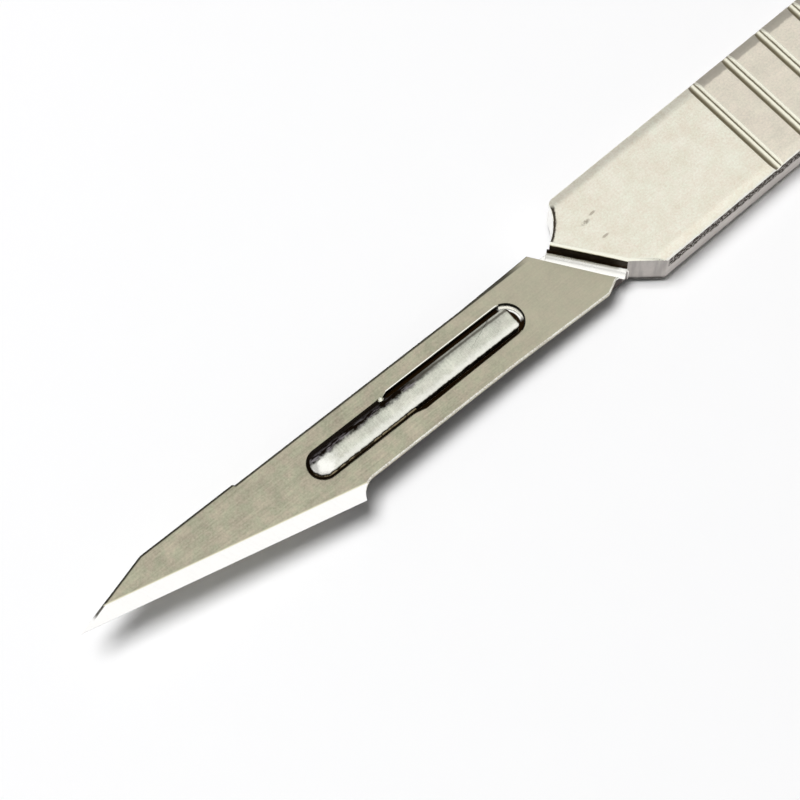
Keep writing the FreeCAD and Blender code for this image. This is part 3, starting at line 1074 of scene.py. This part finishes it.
class SCALPEL_OT_handle(bpy.types.Operator):
    """Builds the handle with its grooves, step, tang and stud"""

    bl_idname = "scalpel.build_handle"
    bl_label = "Build Handle"

    def execute(self, context):
        handle, blade, _ = settings(context)
        finishes = handle_finishes(handle, blade)
        grip = grip_blank(handle, blade)
        cut_grooves(grip, handle, finishes[SATIN])
        unite(grip, [part(handle, blade) for part in (tang_solid, foot_fill, stud_solid, stud_nib)])
        soften(grip, handle.fine_edge)
        finish_piece(
            grip, "scalpel_handle", handle, ["handle"], finishes, handle_chooser(handle, blade),
        )
        return {"FINISHED"}


def handle_finishes(handle, blade):
    """The handle's finishes, in the order of their numbers."""
    along_handle, along_fitting = (handle, blade, False), (handle, blade, True)
    dark, bright = handle.dark_colour, handle.bright_colour
    # Near black: painted shade on the stud's far slope and steep rim.
    scale = dimmed(dark, 0.4)
    thick = handle.thickness
    key, rim, half = handle.stud_width / 2, handle.flange_width / 2, handle.width / 2
    front = flange_front(handle)
    near_y = tang_near(handle, blade)
    step_end = step_x(near_y, handle, blade)
    shoulder_end = step_end - (half - near_y) / math.tan(handle.shoulder_angle)

    def far_slope_shade(p):
        """Painted shade on the far slope of the stud, most of it on the front half."""
        across = p.torn(p.torn(p.y, 0.9, 0.5), 4.0, 0.5)
        return across.fall(-0.50, -0.18) * p.x.ramp(handle.ramp_start - 0.4, handle.flange_start + 0.2, 0.15, 1.0)

    def far_streaks(p):
        """Lighter streaks in the painted shade."""
        streak = p.stretched((1.0, 4.0, 1.0), -0.25).noise(1.3, 3.0, 0.6)
        return streak.rise(0.46, 0.66) * p.y.rise(-0.85, -0.50, 0.8) * far_slope_shade(p)

    def nose_highlight(p):
        """Painted highlight on the stud's nose and near side."""
        nose = p.torn(p.x, 2.0, 1.5).rise(front - 1.2, front + 0.2, 0.9)
        return nose.math("MAXIMUM", p.torn(p.y, 2.0, 0.5).rise(0.25, 0.65, 0.5))

    def flange_reach(p, amount):
        """Ragged distance from the flange's middle line, round its nose too."""
        ahead = (p.x - front).math("MAXIMUM", 0.0)
        return p.torn(distance_of(ahead, p.y + handle.flange_shift), 3.0, amount)

    def stud_rim_shade(p):
        """Painted shade on the steep rim of the flange and its nose."""
        return flange_reach(p, 0.16).rise(rim - 0.27, rim - 0.19)

    def rim_highlight_line(p):
        """The thin, broken tan line within the flange's near rim and nose: a dim painted highlight."""
        line = flange_reach(p, 0.08).stripe(rim - 0.18, rim - 0.15, rim - 0.11, rim - 0.08)
        return line * p.y.rise(-0.1, 0.6, 0.8) * p.noise(3.0, 2.0).ramp(0.42, 0.56, 0.1, 1.0)

    def rear_end_shade(p):
        """Painted shade at the stud's rear end."""
        return p.torn(p.x, 3.0, 0.10).fall(handle.stud_start + 0.10, handle.stud_start + 0.20)

    def key_ridge_shade(p):
        """Painted shade: a dark line inside the far top edge of the key."""
        line = p.torn(p.y, 4.0, 0.10).stripe(0.10 - key, 0.16 - key, 0.24 - key, 0.34 - key)
        return line * p.x.fall(handle.flange_start - 1.8, handle.flange_start + 0.2, 0.8)

    def burr_line(p):
        """The torn, dark upper part of the punched sides."""
        upper = p.torn(p.z, 3.2, 0.8).rise(thick - 1.30, thick - 1.10)
        sparkle = p.noise(5.0, 2.0).ramp(0.38, 0.52, 0.35, 1.0)
        return upper * sparkle * p.x.fall(shoulder_end - 0.3, shoulder_end)

    def hollow_edge(p):
        """The torn, dark edge of the top along the hollow shoulder."""
        front_y = blade.side_offset - handle.tang_width / 2 + handle.hollow_inset
        c, s = math.cos(handle.hollow_angle), math.sin(handle.hollow_angle)
        span = (half + front_y) / s
        x, y = p.x - step_x(front_y, handle, blade), p.y - front_y
        inward, back = x * -s + y * c, x * -c + y * -s
        middle = back / (span / 2) - 1.0
        sag = (1.0 - middle * middle) * handle.hollow_sag
        depth = p.torn(inward - sag, 3.0, 0.22)
        return depth.fall(0.13, 0.24, 0.95) * back.stripe(-0.2, 0.1, span - 0.7, span - 0.3)

    def shoulder_streaks(p):
        """Upright grey streaks on the near shoulder."""
        streak = p.stretched((2.2, 2.2, 0.3)).noise(1.0, 3.0)
        return streak.ramp(0.36, 0.64, 0.38, 0.76) * p.x.rise(shoulder_end - 0.1, shoulder_end + 0.1)

    def tang_side_shade(p):
        """Painted shade on the tang's sides."""
        return p.torn(p.x, 2.0, 0.3).rise(step_end + 0.2, step_end + 0.5)

    def foot_shade(p):
        """Painted contact shadow at the foot of the punched sides."""
        return p.torn(p.z, 2.0, 0.25).fall(0.12, 0.45)

    def slot_shade(p):
        """Painted shade on the tang in the slot, but none on a crescent inside the slot's very rear."""
        radius = rim + blade.slot_side_gap
        ahead, across = p.x - (blade.slot_start + radius), p.y + blade.slot_shift
        ring = distance_of(ahead, across).rise(radius - 0.27, radius - 0.20)
        crescent = ring * across.fall(0.15, 0.50) * ahead.fall(-0.50, -0.2)
        return (1.0 - crescent) * p.x.rise(blade.slot_start - 0.6, blade.slot_start - 0.4)

    def far_band_shade(p):
        """Painted shade along the far edge of the grip."""
        return p.torn(p.y, 1.5, 0.3).fall(0.65 - half, 0.8 - half, 0.6)

    def near_band_highlight(p):
        """Painted highlight along the near edge of the top."""
        return p.torn(p.y, 1.5, 0.4).rise(half - 0.15, half - 0.05, 0.7)

    def fillet_highlight(p):
        """Painted highlight on the lower part of the fillet before the step, as bright as the tang."""
        low = handle.tang_thickness + handle.foot_radius * 0.55
        return p.torn(p.z, 2.0, 0.10).fall(low - 0.04, low + 0.04)

    def step_top_highlight(p):
        """A thin painted highlight along the top of the step."""
        high = thick - handle.step_break - 0.06
        return p.torn(p.z, 2.0, 0.10).rise(high - 0.03, high + 0.03)

    def dents(p):
        """Two small grey dents behind the step, each 0.3 mm by 0.1 mm from its middle."""
        first, second = (
            p.torn(distance_of((p.x - x) / 0.30, (p.y - y) / 0.10), 5.0, 1.0).fall(0.5, 1.1)
            for x, y in ((-2.9, -1.5), (-2.45, 0.2))
        )
        return first.math("MAXIMUM", second)

    groove_shade, lip_highlights = groove_patches(handle)
    side_colour = handle.side_colour
    return [
        metal(
            "handle_satin", along_handle, handle.colour, handle.roughness,
            tone=0.20, lines=0.3, clouds=1.1, speckle=1.4, scuffs=0.10, bump=0.3, hue=0.012,
            patches=[
                (near_band_highlight, bright, -0.05), (hollow_edge, dark, 0.1), (dents, dimmed(handle.colour, 0.58), 0.1),
            ],
        ),
        metal(
            "grip_satin", along_handle, handle.land_colour, handle.roughness,
            tone=0.14, lines=0.5, clouds=1.2, speckle=1.5, scuffs=0.05, bump=0.3, hue=0.012,
            patches=[(far_band_shade, dimmed(handle.land_colour, 0.5), 0.0), (near_band_highlight, bright, -0.05)] + lip_highlights,
        ),
        metal(
            "step_dark", along_handle, dark, 0.5, tone=0.4,
            patches=[(fillet_highlight, bright, -0.2), (step_top_highlight, handle.break_highlight_colour, -0.2)],
        ),
        metal(
            "stud_rubbed", along_fitting, handle.stud_colour, 0.28, tone=0.30, lines=0.5, clouds=1.4,
            turn=math.pi / 2, bump=0.25, hue=0.015,
            patches=[
                (nose_highlight, bright, -0.05), (far_slope_shade, scale, 0.15), (far_streaks, (0.42, 0.39, 0.41), 0.0),
                (stud_rim_shade, scale, 0.1), (rim_highlight_line, (0.36, 0.30, 0.19), 0.0),
                (key_ridge_shade, (0.10, 0.09, 0.07), 0.1), (rear_end_shade, dark, 0.1),
            ],
        ),
        # The punched sides: darker than the top, in part painted shade.
        metal(
            "side_grey", along_handle, side_colour, 0.42, tone=0.16, lines=1.2, clouds=0.8, speckle=0.6, bump=0.3,
            patches=[
                (shoulder_streaks, dimmed(side_colour, 0.5), 0.0), (burr_line, dark, 0.2),
                (foot_shade, dimmed(side_colour, 0.12), 0.1), (tang_side_shade, (0.075, 0.056, 0.052), 0.1),
            ],
        ),
        metal(
            "tang_bright", along_fitting, bright, 0.18, tone=0.02, lines=0.5, patches=[(slot_shade, dark, 0.3)],
        ),
        # The breaks take a paler copy of the satin metal, a painted highlight.
        metal("edge_bright", along_handle, handle.break_highlight_colour, 0.3, tone=0.05),
        metal("groove_satin", along_handle, handle.groove_colour, 0.30, tone=0.08, patches=groove_shade + lip_highlights),
        # The hollow shoulder's wall takes the pale colour, a painted reflection of the bright floor.
        metal("hollow_bright", along_handle, bright, 0.4, tone=0.06),
    ]


def groove_patches(handle):
    """Each cross groove's painted shade, on the wall nearest the blade and at the other wall's foot, and its painted
    highlight on the lip.
    """
    wall = (handle.groove_top - handle.groove_floor) / 2
    groove_shade = (0.20, 0.165, 0.10)
    # Depths are counted from this far in front of a groove, so that its own edge isn't the seam.
    lead = 0.5

    def inside(p):
        """How far into its groove a point lies, from the wall nearest the blade."""
        back = p.torn(p.x, 3.0, 0.06) * -1.0 - (handle.groove_first - lead)
        return back.math("FLOORED_MODULO", handle.groove_pitch)

    # Painted shade on the wall nearest the blade.
    def near_wall(p):
        return inside(p).stripe(lead - 0.06, lead + 0.02, lead + wall + 0.06, lead + wall + 0.26, 0.9)

    # Painted shade at the foot of the far wall.
    def foot(p):
        corner = lead + wall + handle.groove_floor
        return inside(p).stripe(corner, corner + 0.04, corner + 0.06, corner + 0.11, 0.9)

    def lip_highlight(p):
        """The painted highlight on the thin edge of the wall farthest from the blade."""
        edge = lead + handle.groove_top
        last = -handle.groove_first - handle.groove_pitch * (handle.groove_count - 1) - edge
        line = inside(p).stripe(edge - 0.14, edge - 0.10, edge - 0.02, edge + 0.04, 0.9)
        return line * p.x.rise(last - 0.1, last)

    return [(near_wall, groove_shade, 0.2), (foot, groove_shade, 0.2)], [(lip_highlight, handle.break_highlight_colour, -0.1)]


def handle_chooser(handle, blade):
    """Which finish a face of the handle has, by its place and its lie."""
    back = turn_matrix(blade).inverted()
    tang_top, thick = handle.tang_thickness, handle.thickness
    stud_low = tang_top + blade.thickness / 2
    grip_front = -handle.groove_first
    grip_rear = grip_front - handle.groove_pitch * handle.groove_count
    out = step_out(blade)
    nib_place = turn_matrix(blade) @ nib_centre(handle, blade)

    def choose(face):
        centre = face.calc_center_median()
        in_front = centre.x - step_x(centre.y, handle, blade)
        normal, lie = face.normal, face.normal.z
        # The nib's top takes the pale break finish, a painted highlight.
        if (centre - nib_place).length < handle.nib_radius * 1.2 and centre.z > nib_place.z:
            return BREAKS
        if (back @ centre).x > handle.stud_start - 0.1 and centre.z > stud_low:
            return STUD
        if in_front > -0.02 and centre.z < tang_top + 0.01:
            return TANG if lie > 0.3 else SIDE
        at_step = -0.06 < in_front < handle.foot_radius and normal.dot(out) > 0.1
        if at_step and centre.z < thick - handle.step_break:
            return STEP
        if abs(lie) < 0.3:
            at_hollow = centre.y < -0.5 and centre.x > -6.0 and normal.x > 0.2
            return HOLLOW if at_hollow else SIDE
        at_break = thick - handle.step_break * 1.2 < centre.z < thick - 1e-3
        if centre.x > grip_front + 5.0 and lie > 0.3 and at_break and (normal.x > 0.3 or normal.y > 0.5):
            return BREAKS
        in_groove = lie < 0.9 or centre.z < thick - handle.edge_round_drop * 0.9
        if grip_rear < centre.x < grip_front and lie > 0 and in_groove and abs(normal.y) < 0.3:
            return GROOVE
        return LANDS if centre.x < grip_front else SATIN

    return choose


class SCALPEL_OT_blade(bpy.types.Operator):
    """Builds the slotted blade with its ground edge"""

    bl_idname = "scalpel.build_blade"
    bl_label = "Build Blade"

    def execute(self, context):
        handle, blade, _ = settings(context)
        obj = work_object("blade", blade_solid(handle, blade))
        round_rims(obj, blade)
        obj.data.transform(turn_matrix(blade))
        finishes = blade_finishes(handle, blade)
        finish_piece(obj, "scalpel_blade", handle, ["blade"], finishes, blade_chooser(blade))
        return {"FINISHED"}


def blade_finishes(handle, blade):
    """The blade's finishes, in the order of their numbers."""
    along_fitting = (handle, blade, True)
    tip = Vector(blade_tip(blade))
    shadow = dimmed(blade.colour, 0.12)

    def heel_light(p):
        """The heel, a little paler than the rest."""
        return p.torn(p.x, 0.4, 4.0).fall(2.0, 12.0, 0.6)

    def far_line(p):
        """Painted shade: a dark line along the blade's back, where the press drew the metal down."""
        half, step, rise = blade.shank_width / 2, blade.back_step_along, blade.back_step
        from_back = p.y + half + p.x.rise(step, step + rise, rise)
        clip = (tip - Vector((blade.clip_start, -half - rise))).normalized()
        from_clip = p.x * -clip.y + p.y * clip.x - (tip.y * clip.x - tip.x * clip.y)
        depth = p.torn(from_back.math("MINIMUM", from_clip), 2.0, 0.05)
        return depth.fall(0.12, 0.19, 0.95) * p.x.stripe(1.5, 4.0, tip.x - 1.5, tip.x - 1.0)

    def bevel_glint(p):
        """The bright line where the grinding of the edge begins."""
        _, corner, inward = edge_inward(blade)
        depth = p.x * inward.x + p.y * inward.y - (corner.dot(inward) + blade.bevel_width)
        return p.torn(depth, 3.0, 0.03).fall(0.03, 0.10, 0.8)

    def upper_wall(p):
        """The dark upper part of the slot's rear wall."""
        top = handle.tang_thickness + blade.thickness
        rear = p.x.fall(blade.slot_start + 0.75, blade.slot_start + 0.85)
        return p.torn(p.z, 3.0, 0.08).rise(top - 0.22, top - 0.16) * rear

    return [
        metal(
            "blade_ground", along_fitting, blade.colour, blade.roughness,
            tone=0.30, lines=0.8, clouds=1.2, speckle=1.1, bump=0.3, hue=0.045,
            patches=[
                (heel_light, dimmed(blade.colour, 1.13), 0.0), (far_line, shadow, 0.0),
                (bevel_glint, (0.90, 0.87, 0.66), 0.0),
            ],
        ),
        metal(
            "blade_edge", along_fitting, blade.edge_colour, 0.22, tone=0.03, turn=1.2, bump=0.05,
            patches=[(far_line, shadow, 0.0)],
        ),
        # The rims: in part rubbed metal, in part a painted highlight.
        metal("blade_rim", along_fitting, blade.rim_colour, 0.3, tone=0.35, speckle=2.0),
        # The blade's back and the slot's darker faces get a near-black copy of the blade metal: painted shade.
        metal("blade_back", along_fitting, dimmed(blade.colour, 0.06), 0.4, tone=0.3),
        # The slot's rims and walls: in part rubbed metal, in part a painted highlight.
        metal("slot_bright", along_fitting, blade.slot_colour, 0.2, tone=0.06, patches=[(upper_wall, shadow, 0.1)]),
    ]


def blade_chooser(blade):
    """Which finish a face of the blade has, by its place and its lie."""
    distance = edge_inward(blade)[0]
    straight = turn_matrix(blade).inverted()
    half = blade.shank_width / 2
    # In front of this place the back is ground away and the slot has ended.
    ground_back = blade.edge_corner_along + 2.5

    def choose(face):
        laid = straight @ face.calc_center_median()
        normal, lie = face.normal, abs(face.normal.z)
        if distance(laid.x, laid.y) < blade.bevel_width * 0.995 and 0.9 < lie < 0.995:
            return EDGE
        if lie > 0.985:
            return GROUND
        if abs(laid.y) < half * 0.8 and laid.x < ground_back:
            if laid.x < blade.slot_start + 0.8 and normal.x > 0.3 * (1 - lie):
                return BACK if normal.z > 0.3 else SLOT
            if laid.x > blade.slot_narrow_start + 1.0 or normal.y < 0.25:
                return GROUND
            return BACK if lie < 0.3 else SLOT
        if normal.x < -0.15 and lie > 0.2 and laid.x < 2.5:
            return RIM
        if laid.y < -half * 0.5 or laid.x > ground_back:
            return BACK
        return RIM if laid.y > half * 0.85 and lie > 0.2 else GROUND

    return choose


def soft_box(name, centre, place, size, glow):
    """An evenly glowing rectangle that looks at the centre; a glow of 1 is as bright as white paper."""
    data = bpy.data.lights.new(name, "AREA")
    data.shape = "RECTANGLE"
    data.size, data.size_y = size
    data.energy = glow * math.pi * size[0] * size[1]
    obj = bpy.data.objects.new(name, data)
    bpy.context.scene.collection.objects.link(obj)
    obj.location = centre + Vector(place)
    obj.rotation_euler = (centre - obj.location).to_track_quat("-Z", "Y").to_euler()
    return obj


def floor_material(colour):
    """Pale paper with a barely uneven tone."""
    material, tree, shader = new_material("pale_floor")
    shader["Roughness"].default_value = 0.9
    shader["Specular IOR Level"].default_value = 0.0
    cloud = Place(add_node(tree, "ShaderNodeTexCoord", {}, "Object")).noise(300.0, 2.0) - 0.5
    tinted(tree, colour, cloud, 0.004).plug(shader["Base Color"])
    return material


def floor_sheet(handle, studio):
    """A sheet that lies flat under the handle and falls away gently under the blade."""
    half, run, slope = studio.floor_size / 2, studio.fall_run, math.tan(studio.fall_slope)
    steps = 16
    profile = [(-half, 0.0)]
    for i in range(steps + 1):
        along = run * i / steps
        profile.append((seat_along(handle) - studio.fall_start + along, -slope * along * along / run / 2))
    end, depth = profile[-1]
    profile.append((half, depth - slope * (half - end)))
    mesh = bpy.data.meshes.new("floor")
    points = [(x * MM, side * half * MM, z * MM) for x, z in profile for side in (-1, 1)]
    faces = [(2 * i, 2 * i + 2, 2 * i + 3, 2 * i + 1) for i in range(len(profile) - 1)]
    mesh.from_pydata(points, [], faces)
    for face in mesh.polygons:
        face.use_smooth = True
    return mesh


class SCALPEL_OT_studio(bpy.types.Operator):
    """Builds the pale floor, the soft light and the camera"""

    bl_idname = "scalpel.build_studio"
    bl_label = "Build Studio"

    def execute(self, context):
        handle, blade, studio = settings(context)
        scene = context.scene
        floor = bpy.data.objects.new("floor", floor_sheet(handle, studio))
        scene.collection.objects.link(floor)
        floor.location.z = -FLOOR_GAP
        floor.data.materials.append(floor_material(studio.floor_colour))
        self.world(scene, studio)
        self.lamps(handle, studio)
        self.camera(scene, handle, blade, studio)
        scene.view_settings.view_transform = "Standard"
        return {"FINISHED"}

    def world(self, scene, studio):
        """White to the eye, plain light to the floor, and a dim room to the metal."""
        world = bpy.data.worlds.new("studio")
        scene.world = world
        world.use_nodes = True
        tree = world.node_tree
        shade = tree.nodes["Background"].inputs
        shade["Color"].default_value = (1.0, 1.0, 1.0, 1.0)
        path = add_node(tree, "ShaderNodeLightPath", {}).siblings()
        seen = path["Is Camera Ray"].math("MAXIMUM", path["Is Glossy Ray"] * studio.room_glow)
        seen.math("MAXIMUM", path["Is Diffuse Ray"] * studio.sky_glow).plug(shade["Strength"])

    def lamps(self, handle, studio):
        """Three soft boxes that only the metal sees, and a lamp on the far side for light and shadow."""
        centre = Vector(((seat_along(handle) + studio.target_along) * MM, 0, 0))
        for name, place, size, glow in (
            ("soft_box", (-0.14, 0.08, 0.65), (0.90, 1.05), studio.box_glow),
            ("front_box", (0.70, 0.20, 0.32), (1.10, 0.55), studio.front_glow),
            ("side_box", (0.0, 0.80, 0.30), (1.20, 0.40), studio.side_glow),
        ):
            soft_box(name, centre, place, size, glow).visible_diffuse = False
        key = soft_box("far_side", centre, (0.12, -0.10, 0.67), (0.30, 0.30), studio.key_glow)
        key.visible_glossy = False

    def camera(self, scene, handle, blade, studio):
        data = bpy.data.cameras.new("photo_camera")
        camera = bpy.data.objects.new("photo_camera", data)
        scene.collection.objects.link(camera)
        top = handle.tang_thickness + blade.thickness
        target = Vector((seat_along(handle) + studio.target_along, studio.target_across, top)) * MM
        azimuth, elevation = studio.camera_azimuth, studio.camera_elevation
        level = math.cos(elevation)
        back = Vector((math.cos(azimuth) * level, math.sin(azimuth) * level, math.sin(elevation)))
        camera.location = target + back * studio.camera_distance * MM
        camera.rotation_euler = (-back).to_track_quat("-Z", "Y").to_euler()
        data.lens = studio.camera_lens
        data.sensor_width = 36.0
        data.clip_start, data.clip_end = 0.01, 50.0
        scene.camera = camera


class SCALPEL_PT_panel(bpy.types.Panel):
    """Lists the pieces and their settings"""

    bl_label = "Scalpel"
    bl_idname = "SCALPEL_PT_panel"
    bl_space_type = "VIEW_3D"
    bl_region_type = "UI"
    bl_category = "Scalpel"

    def draw(self, context):
        layout = self.layout
        for operator in OPERATORS:
            layout.operator(operator.bl_idname)
        for group in GROUPS:
            box = layout.box()
            data = getattr(context.scene, group)
            for key in own_properties(data):
                box.prop(data, key)


OPERATORS = (SCALPEL_OT_handle, SCALPEL_OT_blade, SCALPEL_OT_studio)
GROUPS = {
    "scalpel_handle": ScalpelHandleSettings,
    "scalpel_blade": ScalpelBladeSettings,
    "scalpel_studio": ScalpelStudioSettings,
}
CLASSES = (*GROUPS.values(), *OPERATORS, SCALPEL_PT_panel)


def register():
    for item in CLASSES:
        bpy.utils.register_class(item)
    for name, group in GROUPS.items():
        setattr(bpy.types.Scene, name, bpy.props.PointerProperty(type=group))


def unregister():
    for name in GROUPS:
        delattr(bpy.types.Scene, name)
    for item in reversed(CLASSES):
        bpy.utils.unregister_class(item)


def main():
    register()
    bpy.ops.scalpel.build_handle()
    bpy.ops.scalpel.build_blade()
    bpy.ops.scalpel.build_studio()


if __name__ == "__main__":
    main()
